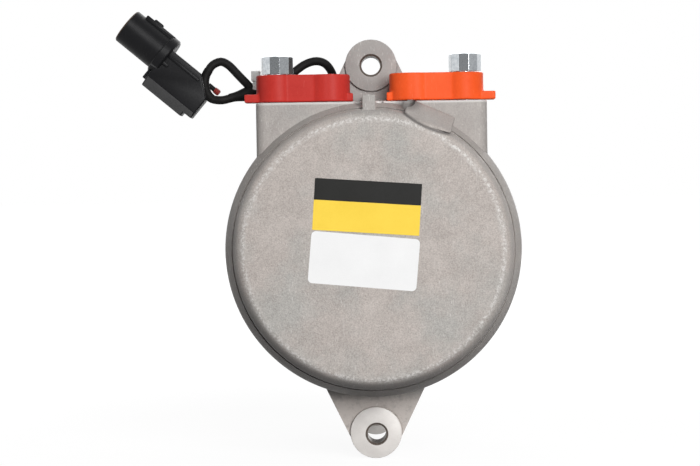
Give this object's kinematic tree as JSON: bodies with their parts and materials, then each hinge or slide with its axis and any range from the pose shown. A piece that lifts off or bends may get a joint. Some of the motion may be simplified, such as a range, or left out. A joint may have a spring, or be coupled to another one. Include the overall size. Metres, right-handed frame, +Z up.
{
  "type": "refrigeration rotary compressor",
  "caption": "Belt-driven scroll compressor for vehicle air conditioning: round cast housing with mounting lugs, capped hose ports, coil lead with connector and a magnetic clutch pulley.",
  "frame": {"origin": "on the shaft axis, halfway between the rear face and the free end of the shaft", "axes": "+Y along the shaft toward the belt clutch, +X to the right when the rear face is looked at, +Z up toward the hose ports"},
  "size_m": [0.1668, 0.174, 0.1867],
  "materials": {
    "cast_aluminium": "as cast, sandblasted",
    "machined_aluminium": "machined",
    "bearing_steel": "ground",
    "zinc_plated_steel": "bright zinc",
    "black_painted_steel": "satin black",
    "black_plastic": "satin",
    "black_rubber": "matt",
    "red_plastic": "satin",
    "orange_plastic": "satin",
    "white_plastic": "satin",
    "copper_winding": "enamelled wire"
  },
  "bodies": {
    "housing": {"rear_housing": "cast_aluminium", "front_housing": "cast_aluminium", "fixed_scroll": "machined_aluminium", "reed_stop": "bearing_steel", "thrust_plate": "bearing_steel", "guide_pin_1": "bearing_steel", "guide_pin_2": "bearing_steel", "guide_pin_3": "bearing_steel", "guide_pin_4": "bearing_steel", "main_bearing_outer": "bearing_steel", "nose_bearing": "bearing_steel", "seal_snap_ring": "bearing_steel", "pulley_bearing_inner": "bearing_steel", "bearing_snap_ring": "bearing_steel", "coil_snap_ring": "bearing_steel", "housing_bolt_1": "zinc_plated_steel", "housing_bolt_2": "zinc_plated_steel", "housing_bolt_3": "zinc_plated_steel", "housing_bolt_4": "zinc_plated_steel", "housing_bolt_5": "zinc_plated_steel", "housing_bolt_6": "zinc_plated_steel", "left_cap_bolt": "zinc_plated_steel", "right_cap_bolt": "zinc_plated_steel", "reed_screw": "zinc_plated_steel", "connector_pin_1": "zinc_plated_steel", "connector_pin_2": "zinc_plated_steel", "coil_housing": "black_painted_steel", "connector_housing": "black_plastic", "housing_seal": "black_rubber", "shaft_seal": "black_rubber", "lead_gland": "black_rubber", "coil_lead_upper": "black_rubber", "coil_lead_lower": "black_rubber", "left_port_cap": "red_plastic", "right_port_cap": "orange_plastic", "cable_tie": "white_plastic", "coil_winding": "copper_winding"},
    "shaft": {"drive_shaft": "bearing_steel", "eccentric_bush": "bearing_steel", "counterweight": "bearing_steel", "main_bearing_inner": "bearing_steel", "clutch_hub": "bearing_steel", "leaf_spring_1": "bearing_steel", "leaf_spring_2": "bearing_steel", "leaf_spring_3": "bearing_steel", "clutch_shim": "bearing_steel", "hub_nut": "zinc_plated_steel"},
    "orbiter": {"orbiting_scroll": "machined_aluminium", "drive_bearing": "bearing_steel", "guide_ring_1": "bearing_steel", "guide_ring_2": "bearing_steel", "guide_ring_3": "bearing_steel", "guide_ring_4": "bearing_steel"},
    "rotor": {"pulley": "black_painted_steel", "pulley_bearing_outer": "bearing_steel"},
    "armature": {"armature_plate": "bearing_steel"},
    "main_bearing_cage": {"main_bearing_balls": "bearing_steel"},
    "pulley_bearing_cage": {"pulley_bearing_balls": "bearing_steel"},
    "reed": {"discharge_reed": "bearing_steel"}
  },
  "joints": [
    {"name": "shaft_spin", "type": "hinge", "parent": "housing", "child": "shaft", "pos_m": [0, 0, 0], "axis": [0, 1, 0], "continuous": true},
    {"name": "scroll_orbit", "type": "hinge", "parent": "shaft", "child": "orbiter", "pos_m": [0, 0, -0.00325], "axis": [0, 1, 0], "continuous": true},
    {"name": "main_bearing_cage_spin", "type": "hinge", "parent": "housing", "child": "main_bearing_cage", "pos_m": [0, 0, 0], "axis": [0, 1, 0], "continuous": true},
    {"name": "pulley_spin", "type": "hinge", "parent": "housing", "child": "rotor", "pos_m": [0, 0, 0], "axis": [0, 1, 0], "continuous": true},
    {"name": "pulley_bearing_cage_spin", "type": "hinge", "parent": "housing", "child": "pulley_bearing_cage", "pos_m": [0, 0, 0], "axis": [0, 1, 0], "continuous": true},
    {"name": "armature_engage", "type": "slide", "parent": "shaft", "child": "armature", "axis": [0, -1, 0], "range_m": [0, 0.00045], "stiffness_N_per_m": 20000},
    {"name": "reed_lift", "type": "hinge", "parent": "housing", "child": "reed", "pos_m": [0, -0.059, 0.0265], "axis": [-1, 0, 0], "range_deg": [0, 4], "stiffness_Nm_per_rad": 0.02}
  ],
  "couplings": [
    {"joint": "scroll_orbit", "follows": "shaft_spin", "ratio": -1},
    {"joint": "main_bearing_cage_spin", "follows": "shaft_spin", "ratio": 0.43},
    {"joint": "pulley_bearing_cage_spin", "follows": "pulley_spin", "ratio": 0.55}
  ]
}
